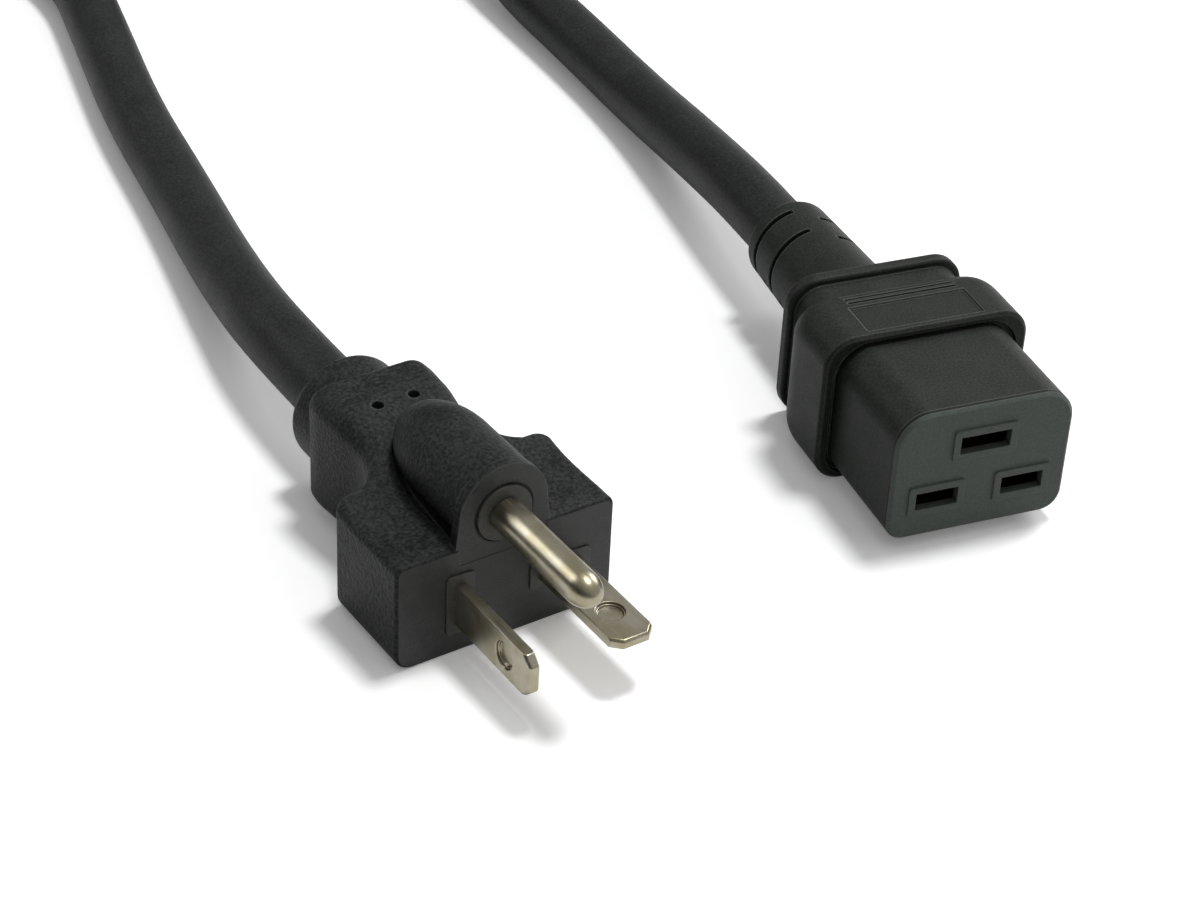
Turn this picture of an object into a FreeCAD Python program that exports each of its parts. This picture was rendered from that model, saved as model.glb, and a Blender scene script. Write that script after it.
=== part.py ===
import FreeCAD, Part
import math
import os

os.makedirs("parts", exist_ok=True)

Vector = FreeCAD.Vector

# Frame: the plug's flat underside is z = 0 and its pin face is the plane y = 0. The pins point
# along -Y, the grip runs along +Y, and x = 0 is the ground pin's axis. Sizes are millimetres.

# Cord: three insulated leads in a round jacket.
cord_diameter = 10.2
lead_diameter = 3.9
core_diameter = 2.4
lead_circle_radius = 2.4

# Pins: a straight blade on edge, a flat blade and a round ground pin above them.
blade_width = 6.35
blade_thickness = 1.52
blade_reach = 18.0
blade_hole_diameter = 3.9
blade_hole_reach = 11.9
blade_corner = 1.3
blade_edge_bevel = 0.3
blade_height = 7.8
blade_vertical_x = -6.35
blade_horizontal_x = 8.73
pin_diameter = 4.8
pin_shank_diameter = 4.2
pin_reach = 21.2
pin_tip_length = 3.4
pin_base_bevel = 0.2
pin_height = 19.7

# Plug body, seen from above: a wide block, a shoulder, a narrow waist and a flared grip.
plug_centre_x = 0.6
block_half_width = 16.3
block_length = 15.0
block_corner_radius = 1.2
face_edge_radius = 0.5
underside_trim = 0.08
shoulder_half_width = 14.5
waist_half_width = 8.5
waist_start_angle = 14.0
waist_y = 24.5
grip_half_width = 9.1
grip_wide_y = 31.5
grip_end_y = 37.0
grip_end_radius = 1.6
face_height = 16.3
top_level_y = 10.0
grip_lift = 1.8
grip_height = 20.2
grip_high_y = 30.0
bottom_edge_radius = 2.5
block_top_radius = 1.4
grip_top_radius = 3.0
collar_diameter = 16.6
collar_end_y = 43.5
collar_rim_radius = 1.6
cord_entry_height = 10.7
jacket_end_y = 34.0
grip_hole_diameter = 1.7
grip_hole_depth = 3.0
grip_hole_spacing = 5.5
grip_hole_y = 28.5

# The hump over the ground pin stands in a pocket in the top of the body.
hump_radius = 6.4
hump_axis_rise = 0.6
hump_setback = 0.1
hump_foot_drop = 1.0
hump_plate_lip = 0.15
hump_straight_y = 12.5
hump_end_y = 23.5
hump_root_half_width = 5.0
hump_root_end_y = 22.1
hump_plate_thickness = 1.5
hump_plate_half_width = 7.4
hump_plate_foot = 12.8
pocket_half_width = 6.9
pocket_straight_y = 10.0
pocket_end_y = 24.3
pocket_floor_front = 13.6
pocket_floor_rear = 16.8
pocket_draft = 0.6

# Inner bridge of the plug: it holds the pins and shows at the face as two pads and a boss.
bridge_front_y = 2.5
bridge_rear_y = 8.0
bridge_margin = 0.3
bridge_corner_radius = 1.0
pad_long = 9.2
pad_short = 4.1
pad_corner_radius = 0.7
pad_proud = 0.25
boss_radius = 4.0
boss_groove_width = 0.35
boss_groove_depth = 0.4
barrel_length = 4.0
barrel_radius = 2.15
core_insert_depth = 3.0
ground_lead_bend_y = (16.0, 23.5)
line_lead_bend_y = (15.5, 30.0)

# Connector, in its own frame: nose face at y = 0, body along +Y, underside at z = 0.
connector_nose_x = 67.8
connector_nose_y = -13.8
connector_turn = -12.0
nose_width = 27.0
nose_height = 20.0
nose_reach = 18.0
nose_top_radius = 5.0
nose_bottom_radius = 3.0
nose_edge_bevel = 0.5
hood_width = 31.6
hood_height = 23.4
hood_corner_radius = 4.5
hood_straight_y = 26.0
hood_rear_y = 31.0
hood_rear_inset = 2.3
hood_rim_bevel = 0.5
nose_groove_width = 0.8
nose_groove_depth = 1.0
neck_width = 25.5
neck_height = 20.5
neck_corner_radius = 4.0
flange_front_y = 34.3
flange_thickness = 2.2
flange_width = 27.5
flange_height = 22.6
flange_corner_radius = 4.5
flange_edge_radius = 0.6
sleeve_front_radius = 7.8
sleeve_end_radius = 6.8
sleeve_end_y = 64.0
sleeve_lip_radius = 1.3
sleeve_jacket_end_y = 45.0
relief_slot_width = 1.0
relief_slot_depth = 1.4
relief_slot_pitch = 6.2
relief_slot_first = 4.0
relief_slots_per_side = 2
relief_sides = ((100.0, 110.0, 0.0), (-160.0, 235.0, 0.5))
grip_groove_count = 4
grip_groove_pitch = 1.15
grip_groove_width = 0.5
grip_groove_depth = 0.45
grip_groove_half_width = 8.5
label_length = 6.3
label_width = 18.0
label_depth = 0.3
label_start_y = 19.3

# Slots of the nose, measured from the middle of the nose face.
earth_slot_width = 7.6
line_slot_width = 6.4
slot_height = 2.7
earth_slot_rise = 4.15
line_slot_drop = 3.85
line_slot_spacing = 13.0
slot_frame_width = 1.05
slot_frame_proud = 0.3
insert_plate_thickness = 1.0
insert_skin = 1.7
insert_corner_radius = 3.0
insert_rear_y = 24.0
slot_throat = 1.0
cavity_growth = 0.8
contact_width = 4.8
contact_leaf = 0.6
contact_front_y = 3.5
contact_pinch_y = 6.0
contact_spread_y = 9.5
contact_rear_y = 17.0
contact_mouth_half = 1.25
contact_pinch_half = 0.65
contact_bay_half = 1.2
connector_lead_bend_y = (29.0, 41.0)

# Coil of the spare length: three turns side by side below and two on top of them.
coil_centre_x = 83.5
coil_centre_y = 262.0
coil_mean_radius = 51.0
coil_turns = 4.5
coil_lower_slots = (1.0, 0.0, -1.0)
coil_upper_slots = (-0.5, 0.5)
tie_width = 12.0
tie_thickness = 1.0

# Derived sizes.
cord_radius = cord_diameter / 2
coil_lower_height = tie_thickness + cord_radius
coil_upper_height = coil_lower_height + cord_diameter
connector_axis_height = hood_height / 2
pin_axis = Vector(0, 0, pin_height)
barrel_end_y = bridge_rear_y + barrel_length
flange_rear_y = flange_front_y + flange_thickness
along_y = Vector(0, 1, 0)
along_z = Vector(0, 0, 1)
origin = Vector(0, 0, 0)

# Routes of the two cord stretches: hand-laid corner points of the middle line.
plug_route = [
    (plug_centre_x, jacket_end_y, cord_entry_height),
    (plug_centre_x, 60.0, cord_entry_height),
    (5.4, 87.0, 6.8),
    (11.8, 116.0, cord_radius),
    (17.0, 145.0, cord_radius),
    (24.4, 173.0, cord_radius),
    (31.0, 199.0, cord_radius),
    (27.4, 223.0, 5.6),
    (coil_centre_x - coil_mean_radius - cord_diameter, coil_centre_y - 16.0, coil_lower_height),
]
connector_route = [
    (89.0, 83.0, 8.4),
    (94.3, 108.0, cord_radius),
    (97.6, 133.0, cord_radius),
    (99.6, 157.0, 5.6),
    (104.0, 181.0, 10.2),
    (116.5, 203.0, 16.2),
    (132.0, 224.0, 17.0),
    (coil_centre_x + coil_mean_radius + cord_diameter / 2, coil_centre_y - 16.0, coil_upper_height),
]


def vectors(points):
    return [Vector(*point) for point in points]


def line(start, end):
    return Part.LineSegment(start, end).toShape()


def arc(start, middle, end):
    return Part.Arc(start, middle, end).toShape()


def smooth_step(value):
    held = min(max(value, 0.0), 1.0)
    return held * held * (3 - 2 * held)


def box(x_range, y_range, z_range):
    size = [high - low for low, high in (x_range, y_range, z_range)]
    return Part.makeBox(*size, Vector(x_range[0], y_range[0], z_range[0]))


def rod(x, z, y_start, y_end, radius):
    return Part.makeCylinder(radius, y_end - y_start, Vector(x, y_start, z), along_y)


def rounded_section(y, left, right, bottom, top, bottom_radius, top_radius):
    """Upright rounded rectangle at one y, as four sides and four quarter arcs."""
    corners = [
        (right - bottom_radius, bottom + bottom_radius, bottom_radius, -90),
        (right - top_radius, top - top_radius, top_radius, 0),
        (left + top_radius, top - top_radius, top_radius, 90),
        (left + bottom_radius, bottom + bottom_radius, bottom_radius, 180),
    ]
    edges = []
    last_end = Vector(left + bottom_radius, y, bottom)
    for x, z, radius, first_angle in corners:
        spots = []
        for step in (0, 45, 90):
            angle = math.radians(first_angle + step)
            spots.append(Vector(x + radius * math.cos(angle), y, z + radius * math.sin(angle)))
        edges.append(line(last_end, spots[0]))
        edges.append(arc(*spots))
        last_end = spots[2]
    return Part.Wire(edges)


def rounded_block(y_start, y_end, width, height, middle_x, middle_z, bottom_radius, top_radius):
    wire = rounded_section(
        y_start,
        middle_x - width / 2,
        middle_x + width / 2,
        middle_z - height / 2,
        middle_z + height / 2,
        bottom_radius,
        top_radius,
    )
    return Part.Face(wire).extrude(Vector(0, y_end - y_start, 0))


def edges_at(shape, y):
    """Edges that lie wholly in the plane of one y."""
    found = []
    for edge in shape.Edges:
        bounds = edge.BoundBox
        if abs(bounds.YMin - y) < 1e-4 and abs(bounds.YMax - y) < 1e-4:
            found.append(edge)
    return found


def fuse_all(shapes):
    return shapes[0].multiFuse(shapes[1:]).removeSplitter()


def cut_all(shape, tools):
    return shape.cut(tools)


def bend_radius(before, corner, after):
    back = before - corner
    ahead = after - corner
    turn = math.pi - back.getAngle(ahead)
    return 0.45 * min(back.Length, ahead.Length) / math.tan(turn / 2)


def route_wire(points):
    """Straight runs joined by arcs that start and end along the runs."""
    edges = []
    last_end = points[0]
    for before, corner, after in zip(points, points[1:], points[2:]):
        back = (before - corner).normalize()
        ahead = (after - corner).normalize()
        half_turn = (math.pi - back.getAngle(ahead)) / 2
        radius = bend_radius(before, corner, after)
        reach = radius * math.tan(half_turn)
        inward = (back + ahead).normalize()
        start = corner + back * reach
        end = corner + ahead * reach
        middle = corner + inward * (radius / math.cos(half_turn) - radius)
        edges.append(line(last_end, start))
        edges.append(arc(start, middle, end))
        last_end = end
    edges.append(line(last_end, points[-1]))
    return Part.Wire(edges)


def tube(points, diameter):
    """Round bar swept along a route."""
    wire = route_wire(points)
    heading = points[1] - points[0]
    profile = Part.Wire([Part.Circle(points[0], heading, diameter / 2).toShape()])
    return wire.makePipeShell([profile], True, False)


def plug_top(y):
    climb = smooth_step((y - top_level_y) / (grip_high_y - top_level_y))
    return face_height + (grip_height - face_height) * climb


def plug_underside(y):
    climb = smooth_step((y - block_length) / (grip_high_y - block_length))
    return grip_lift * climb - underside_trim


def plug_section(y, half_width, inset=0.0):
    softening = smooth_step((y - block_length) / (waist_y - block_length))
    top_radius = block_top_radius + (grip_top_radius - block_top_radius) * softening
    return rounded_section(
        y,
        plug_centre_x - half_width + inset,
        plug_centre_x + half_width - inset,
        plug_underside(y) + inset,
        plug_top(y) - inset,
        bottom_edge_radius - inset,
        top_radius - inset,
    )


def plug_front_edge():
    sections = []
    for angle in (0, 30, 60, 90):
        turn = math.radians(angle)
        y = face_edge_radius * (1 - math.cos(turn))
        inset = face_edge_radius * (1 - math.sin(turn))
        sections.append(plug_section(y, block_half_width, inset))
    return Part.makeLoft(sections, True, False)


def plug_block():
    sections = []
    for step in range(4):
        y = face_edge_radius + (block_length - face_edge_radius) * step / 3
        sections.append(plug_section(y, block_half_width))
    return Part.makeLoft(sections, True, False)


def plug_shoulder():
    sections = []
    for angle in (0, 30, 60, 90):
        turn = math.radians(angle)
        y = block_length + block_corner_radius * math.sin(turn)
        half_width = block_half_width - block_corner_radius * (1 - math.cos(turn))
        sections.append(plug_section(y, half_width))
    return Part.makeLoft(sections, True, False)


def waist_section(angle):
    """Section where the hollow quarter ellipse behind the shoulder has turned by an angle."""
    turn = math.radians(angle)
    shoulder_y = block_length + block_corner_radius
    y = waist_y - (waist_y - shoulder_y) * math.cos(turn)
    half_width = shoulder_half_width - (shoulder_half_width - waist_half_width) * math.sin(turn)
    return y, half_width


def plug_waist():
    """Hollow from the shoulder down to the waist, then the flare of the grip."""
    first_y, first_half_width = waist_section(waist_start_angle)
    root = [plug_section(block_length, first_half_width), plug_section(first_y, first_half_width)]
    sections = [root[1]]
    for step in range(1, 7):
        angle = waist_start_angle + (90 - waist_start_angle) * step / 6
        sections.append(plug_section(*waist_section(angle)))
    flare = grip_half_width - waist_half_width
    for step in (1, 2, 3):
        y = waist_y + (grip_wide_y - waist_y) * step / 3
        sections.append(plug_section(y, waist_half_width + flare * smooth_step(step / 3)))
    sections.append(plug_section(grip_end_y - grip_end_radius, grip_half_width))
    return Part.makeLoft(root, True, True).fuse(Part.makeLoft(sections, True, False))


def plug_grip_end():
    sections = []
    for angle in (0, 30, 60, 90):
        turn = math.radians(angle)
        y = grip_end_y - grip_end_radius * (1 - math.sin(turn))
        inset = grip_end_radius * (1 - math.cos(turn))
        sections.append(plug_section(y, grip_half_width, inset))
    return Part.makeLoft(sections, True, False)


def plug_collar():
    collar = rod(plug_centre_x, cord_entry_height, grip_end_y - 1, collar_end_y, collar_diameter / 2)
    return collar.makeFillet(collar_rim_radius, edges_at(collar, collar_end_y))


def arched_plan(half_width, start_y, straight_y, end_y, z):
    """Plan outline about x = 0: straight sides closed by half an ellipse."""
    centre = Vector(0, straight_y, z)
    length = end_y - straight_y
    if length > half_width:
        ellipse = Part.Ellipse(centre + Vector(0, length, 0), centre + Vector(half_width, 0, 0), centre)
        span = (-math.pi / 2, math.pi / 2)
    else:
        ellipse = Part.Ellipse(centre + Vector(half_width, 0, 0), centre + Vector(0, length, 0), centre)
        span = (0, math.pi)
    bend = Part.ArcOfEllipse(ellipse, *span).toShape()
    ends = [bend.Vertexes[0].Point, bend.Vertexes[1].Point]
    feet = [Vector(point.x, start_y, z) for point in ends]
    return Part.Wire([line(feet[0], ends[0]), bend, line(ends[1], feet[1]), line(feet[1], feet[0])])


def plug_pocket():
    """Drafted pocket round the hump; its floor climbs with the top of the body."""
    low = pocket_floor_front - 1
    high = pin_height + hump_radius
    plans = []
    for growth, z in ((-pocket_draft, low), (pocket_draft, high)):
        plans.append(arched_plan(pocket_half_width + growth, -1, pocket_straight_y, pocket_end_y + growth, z))
    well = Part.makeLoft(plans, True, True)
    reach = pocket_end_y + 2
    climb = (pocket_floor_rear - pocket_floor_front) / pocket_end_y
    side = vectors([
        (-2 * pocket_half_width, -1, pocket_floor_front - climb),
        (-2 * pocket_half_width, reach, pocket_floor_front + climb * reach),
        (-2 * pocket_half_width, reach, high),
        (-2 * pocket_half_width, -1, high),
    ])
    above_floor = Part.Face(Part.makePolygon(side + side[:1])).extrude(Vector(4 * pocket_half_width, 0, 0))
    return well.common(above_floor)


def plug_hump():
    """Domed barrel round the ground pin, with a foot below it and a plate at the face."""
    length = hump_end_y - hump_straight_y
    axis = pin_axis + Vector(0, 0, hump_axis_rise)
    centre = axis + Vector(0, hump_straight_y, 0)
    ellipse = Part.Ellipse(centre + Vector(0, length, 0), centre + Vector(hump_radius, 0, 0), centre)
    dome = Part.ArcOfEllipse(ellipse, -math.pi / 2, 0).toShape()
    if dome.Vertexes[0].Point.x < 0:
        dome = Part.ArcOfEllipse(ellipse, 0, math.pi / 2).toShape()
    tip = axis + Vector(0, hump_end_y, 0)
    rim = axis + Vector(hump_radius, hump_straight_y, 0)
    front = axis + Vector(hump_radius, 0, 0)
    outline = Part.Wire(Part.sortEdges([line(tip, axis), line(axis, front), line(front, rim), dome])[0])
    barrel = Part.Face(outline).revolve(axis, along_y, 360)
    foot_base = pocket_floor_front - 2
    foot_start = hump_plate_thickness / 2
    foot_plan = arched_plan(hump_root_half_width, foot_start, hump_straight_y, hump_root_end_y, foot_base)
    foot = Part.Face(foot_plan).extrude(Vector(0, 0, pin_height - hump_foot_drop - foot_base))
    plate_radius = hump_radius + hump_plate_lip
    right_foot = Vector(hump_plate_half_width, 0, hump_plate_foot)
    left_foot = Vector(-hump_plate_half_width, 0, hump_plate_foot)
    right = axis + Vector(plate_radius, 0, 0)
    left = axis + Vector(-plate_radius, 0, 0)
    crown = arc(right, axis + Vector(0, 0, plate_radius), left)
    plate_outline = Part.Wire([line(right_foot, right), crown, line(left, left_foot), line(left_foot, right_foot)])
    plate = Part.Face(plate_outline).extrude(Vector(0, hump_plate_thickness, 0))
    hump = fuse_all([barrel, foot, plate])
    hump.translate(Vector(0, hump_setback, 0))
    return hump


def plug_shell():
    """Outside of the moulded plug, still solid inside."""
    shell = fuse_all([
        plug_front_edge(),
        plug_block(),
        plug_shoulder(),
        plug_waist(),
        plug_grip_end(),
        plug_collar(),
    ])
    under = box((-2 * block_half_width, 2 * block_half_width), (-1, collar_end_y), (-1, 0))
    shell = shell.cut(under).cut(plug_pocket()).fuse(plug_hump())
    holes = []
    for side in (-1, 1):
        x = plug_centre_x + side * grip_hole_spacing / 2
        foot = Vector(x, grip_hole_y, plug_top(grip_hole_y) - grip_hole_depth)
        holes.append(Part.makeCylinder(grip_hole_diameter / 2, 2 * grip_hole_depth, foot))
    groove = rod(0, pin_height, 0, boss_groove_depth, boss_radius + boss_groove_width)
    return cut_all(shell, holes + [groove])


def barrel(x, z, start_y):
    """Crimp barrel behind a pin or contact, open where the bared core goes in."""
    outside = rod(x, z, start_y, start_y + barrel_length, barrel_radius)
    bore = rod(x, z, start_y + barrel_length - core_insert_depth, start_y + barrel_length, core_diameter / 2)
    return outside.cut(bore)


def blade(x, on_edge):
    """Flat blade with clipped corners, bevelled edges and a round hole, made lying flat."""
    half = blade_width / 2
    outline = vectors([
        (-half, bridge_rear_y, 0),
        (half, bridge_rear_y, 0),
        (half, -blade_reach + blade_corner, 0),
        (half - blade_corner, -blade_reach, 0),
        (-half + blade_corner, -blade_reach, 0),
        (-half, -blade_reach + blade_corner, 0),
    ])
    strip = Part.Face(Part.makePolygon(outline + outline[:1])).extrude(Vector(0, 0, blade_thickness))
    tip_edges = []
    for edge in strip.Edges:
        bounds = edge.BoundBox
        if bounds.YMax < -blade_reach + blade_corner + 0.01 and bounds.ZLength < 0.01:
            tip_edges.append(edge)
    strip = strip.makeChamfer(blade_edge_bevel, tip_edges)
    hole = Part.makeCylinder(blade_hole_diameter / 2, blade_thickness, Vector(0, -blade_hole_reach, 0))
    strip = strip.cut(hole)
    strip.translate(Vector(0, 0, -blade_thickness / 2))
    if on_edge:
        strip.rotate(origin, along_y, 90)
    strip.translate(Vector(x, 0, blade_height))
    return strip.fuse(barrel(x, blade_height, bridge_rear_y)).removeSplitter()


def ground_pin():
    """Round pin with a blunt bullet tip, turned about its own axis."""
    radius = pin_diameter / 2
    shank_radius = pin_shank_diameter / 2
    centre = pin_axis + Vector(0, -pin_reach + pin_tip_length, 0)
    tip = pin_axis + Vector(0, -pin_reach, 0)
    flank = centre + Vector(radius, 0, 0)
    nose = Part.ArcOfEllipse(Part.Ellipse(tip, flank, centre), 0, math.pi / 2).toShape()
    corners = [
        flank,
        pin_axis + Vector(radius, -pad_proud - pin_base_bevel, 0),
        pin_axis + Vector(radius - pin_base_bevel, -pad_proud, 0),
        pin_axis + Vector(shank_radius, -pad_proud, 0),
        pin_axis + Vector(shank_radius, bridge_rear_y, 0),
        pin_axis + Vector(0, bridge_rear_y, 0),
        tip,
    ]
    sides = [line(start, end) for start, end in zip(corners, corners[1:])]
    outline = Part.Wire(Part.sortEdges([nose] + sides)[0])
    pin = Part.Face(outline).revolve(pin_axis, along_y, 360)
    return pin.fuse(barrel(0, pin_height, bridge_rear_y)).removeSplitter()


def plug_bridge(pins):
    """Inner moulding that holds the three pins at their spacing."""
    pad_top = blade_height + pad_long / 2
    pad_left = blade_vertical_x - pad_short / 2
    pad_right = blade_horizontal_x + pad_long / 2
    depth = bridge_rear_y - bridge_front_y
    width = pad_right - pad_left + 2 * bridge_margin
    height = pad_long + 2 * bridge_margin
    beam = rounded_block(
        bridge_front_y,
        bridge_rear_y,
        width,
        height,
        (pad_left + pad_right) / 2,
        blade_height,
        bridge_corner_radius,
        bridge_corner_radius,
    )
    pads = []
    for x, pad_width, pad_height in (
        (blade_vertical_x, pad_short, pad_long),
        (blade_horizontal_x, pad_long, pad_short),
    ):
        pads.append(
            rounded_block(
                -pad_proud,
                bridge_front_y,
                pad_width,
                pad_height,
                x,
                blade_height,
                pad_corner_radius,
                pad_corner_radius,
            )
        )
    stem = box(
        (-boss_radius, boss_radius),
        (bridge_front_y, bridge_front_y + depth),
        (pad_top - bridge_margin, pin_height),
    )
    boss = rod(0, pin_height, -pad_proud, bridge_rear_y, boss_radius)
    return cut_all(fuse_all([beam, stem, boss] + pads), pins)


def lead_spots(middle_x, middle_z, ground_below):
    """Places of the ground and the two line leads where they leave the jacket."""
    spots = []
    side = -1 if ground_below else 1
    for angle in (90, 210, -30):
        turn = math.radians(angle)
        x = middle_x + lead_circle_radius * math.cos(turn)
        z = middle_z + side * lead_circle_radius * math.sin(turn)
        spots.append((x, z))
    return spots


def lead_route(start, end, start_y, bends, end_y):
    return vectors([
        (start[0], start_y, start[1]),
        (start[0], bends[0], start[1]),
        (end[0], bends[1], end[1]),
        (end[0], end_y, end[1]),
    ])


def leads_and_cores(routes, metals):
    """For each route, the insulated lead with its core taken out, the core and the whole bar."""
    leads = []
    cores = []
    bars = []
    for route, metal in zip(routes, metals):
        bar = tube(route, lead_diameter)
        core = tube(route, core_diameter)
        leads.append(bar.cut([core, metal]))
        cores.append(core)
        bars.append(bar)
    return leads, cores, bars


def nose_block(y_start, y_end, growth=0.0):
    return rounded_block(
        y_start,
        y_end,
        nose_width + 2 * growth,
        nose_height + 2 * growth,
        0,
        connector_axis_height,
        nose_bottom_radius + growth,
        nose_top_radius + growth,
    )


def hood():
    """Wide moulded hood: bevelled rim, straight sides and a rounded-in rear."""
    front = rounded_block(
        nose_reach,
        hood_straight_y,
        hood_width,
        hood_height,
        0,
        connector_axis_height,
        hood_corner_radius,
        hood_corner_radius,
    )
    front = front.makeChamfer(hood_rim_bevel, edges_at(front, nose_reach))
    sections = []
    for angle in (0, 25, 50, 75, 90):
        turn = math.radians(angle)
        inset = hood_rear_inset * (1 - math.cos(turn))
        sections.append(
            rounded_section(
                hood_straight_y + (hood_rear_y - hood_straight_y) * math.sin(turn),
                -hood_width / 2 + inset,
                hood_width / 2 - inset,
                inset,
                hood_height - inset,
                hood_corner_radius,
                hood_corner_radius,
            )
        )
    rear = Part.makeLoft(sections, True, False)
    return front.fuse(rear)


def sleeve():
    """Tapering strain relief with a rolled end."""
    cone = Part.makeCone(
        sleeve_front_radius,
        sleeve_end_radius,
        sleeve_end_y - flange_rear_y,
        Vector(0, flange_rear_y, connector_axis_height),
        along_y,
    )
    return cone.makeFillet(sleeve_lip_radius, edges_at(cone, sleeve_end_y))


def relief_slots():
    """Arc-shaped slots that let the sleeve bend, staggered between its two sides."""
    slots = []
    for first_angle, sweep, shift in relief_sides:
        for number in range(relief_slots_per_side):
            back = relief_slot_first + (number + shift) * relief_slot_pitch
            y = sleeve_end_y - back
            share = (y - flange_rear_y) / (sleeve_end_y - flange_rear_y)
            radius = sleeve_front_radius + (sleeve_end_radius - sleeve_front_radius) * share
            floor = radius - relief_slot_depth
            section = vectors([
                (floor, y, 0),
                (radius + 1, y, 0),
                (radius + 1, y + relief_slot_width, 0),
                (floor, y + relief_slot_width, 0),
            ])
            ring = Part.Face(Part.makePolygon(section + section[:1])).revolve(origin, along_y, -sweep)
            ring.rotate(origin, along_y, -first_angle)
            ring.translate(Vector(0, 0, connector_axis_height))
            slots.append(ring)
    return slots


def hood_details():
    """Finger grip of cross grooves on the rounded rear, and the shallow recess before it."""
    cuts = []
    for number in range(grip_groove_count):
        start = hood_straight_y + (number + 0.5) * grip_groove_pitch
        end = start + grip_groove_width
        share = (end - hood_straight_y) / (hood_rear_y - hood_straight_y)
        fall = hood_rear_inset * (1 - math.sqrt(1 - share * share))
        level = hood_height - fall - grip_groove_depth
        cuts.append(
            box((-grip_groove_half_width, grip_groove_half_width), (start, end), (level, hood_height + 1))
        )
    cuts.append(
        box(
            (-label_width / 2, label_width / 2),
            (label_start_y, label_start_y + label_length),
            (hood_height - label_depth, hood_height + 1),
        )
    )
    return cuts


def connector_shell():
    neck = rounded_block(
        hood_rear_y - 1,
        flange_front_y,
        neck_width,
        neck_height,
        0,
        connector_axis_height,
        neck_corner_radius,
        neck_corner_radius,
    )
    flange = rounded_block(
        flange_front_y,
        flange_rear_y,
        flange_width,
        flange_height,
        0,
        connector_axis_height,
        flange_corner_radius,
        flange_corner_radius,
    )
    rims = edges_at(flange, flange_front_y) + edges_at(flange, flange_rear_y)
    flange = flange.makeFillet(flange_edge_radius, rims)
    body = hood().cut(nose_block(nose_reach, nose_reach + nose_groove_depth, nose_groove_width))
    shell = fuse_all([body, nose_block(insert_plate_thickness, nose_reach + nose_groove_depth), neck, flange, sleeve()])
    return cut_all(shell, relief_slots() + hood_details())


def slot_places():
    """Middle and width of the earth slot and the two line slots."""
    return [
        (0, connector_axis_height + earth_slot_rise, earth_slot_width),
        (-line_slot_spacing / 2, connector_axis_height - line_slot_drop, line_slot_width),
        (line_slot_spacing / 2, connector_axis_height - line_slot_drop, line_slot_width),
    ]


def contact(x, z):
    """Sprung pair of leaves from one folded strip, with a crimp barrel behind."""
    inside = [
        (contact_front_y, contact_mouth_half),
        (contact_pinch_y, contact_pinch_half),
        (contact_spread_y, contact_bay_half),
        (contact_rear_y - contact_leaf, contact_bay_half),
    ]
    outside = [(y, half + contact_leaf) for y, half in inside[:3]]
    outside.append((contact_rear_y, contact_bay_half + contact_leaf))
    upper = inside + outside[::-1]
    ring = [(y, half) for y, half in inside]
    ring += [(y, -half) for y, half in inside[::-1]]
    ring += [(y, -half) for y, half in outside]
    ring += [(y, half) for y, half in outside[::-1]]
    points = [Vector(x - contact_width / 2, y, z + half) for y, half in ring]
    leaves = Part.Face(Part.makePolygon(points + points[:1])).extrude(Vector(contact_width, 0, 0))
    return leaves.fuse(barrel(x, z, contact_rear_y)).removeSplitter()


def connector_insert(metals_and_leads):
    """Inner moulding with framed slots and a bay for each contact, and its outside left whole."""
    plate = nose_block(0, insert_plate_thickness)
    plate = plate.makeChamfer(nose_edge_bevel, edges_at(plate, 0))
    block = rounded_block(
        insert_plate_thickness,
        insert_rear_y,
        nose_width - 2 * insert_skin,
        nose_height - 2 * insert_skin,
        0,
        connector_axis_height,
        insert_corner_radius,
        insert_corner_radius,
    )
    frames = []
    openings = []
    for x, z, width in slot_places():
        frame_width = width + 2 * slot_frame_width
        frame_height = slot_height + 2 * slot_frame_width
        bay_width = width + cavity_growth
        bay_height = slot_height + 2 * cavity_growth
        frames.append(rounded_block(-slot_frame_proud, 0, frame_width, frame_height, x, z, 0.5, 0.5))
        openings.append(
            box(
                (x - width / 2, x + width / 2),
                (-slot_frame_proud, slot_throat),
                (z - slot_height / 2, z + slot_height / 2),
            )
        )
        openings.append(
            box(
                (x - bay_width / 2, x + bay_width / 2),
                (slot_throat, contact_rear_y),
                (z - bay_height / 2, z + bay_height / 2),
            )
        )
    outside = fuse_all([plate, block] + frames)
    return cut_all(outside, openings + metals_and_leads), outside


def placed_connector(shape):
    moved = shape.copy()
    moved.rotate(origin, along_z, connector_turn)
    moved.translate(Vector(connector_nose_x, connector_nose_y, 0))
    return moved


def connector_point(y):
    turn = math.radians(connector_turn)
    x = connector_nose_x - y * math.sin(turn)
    return Vector(x, connector_nose_y + y * math.cos(turn), connector_axis_height)


def bundle_outline(growth):
    """Outline round the coil's turns at one place: rounded corners joined by straight sides."""
    slots = [(coil_lower_slots[-1], coil_lower_height), (coil_lower_slots[0], coil_lower_height)]
    slots += [(coil_upper_slots[-1], coil_upper_height), (coil_upper_slots[0], coil_upper_height)]
    corners = [Vector(coil_mean_radius + slot * cord_diameter, 0, height) for slot, height in slots]
    radius = cord_radius + growth
    outward = []
    for number, corner in enumerate(corners):
        side = corners[(number + 1) % 4] - corner
        outward.append(Vector(side.z, 0, -side.x).normalize())
    edges = []
    for number, corner in enumerate(corners):
        before = outward[number - 1]
        after = outward[number]
        middle = (before + after).normalize()
        edges.append(arc(corner + before * radius, corner + middle * radius, corner + after * radius))
        following = corners[(number + 1) % 4]
        edges.append(line(corner + after * radius, following + after * radius))
    return Part.Wire(edges)


def coil():
    ring = Part.Face(bundle_outline(0)).revolve(origin, along_z, 360)
    ring.translate(Vector(coil_centre_x, coil_centre_y, 0))
    return ring


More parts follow.
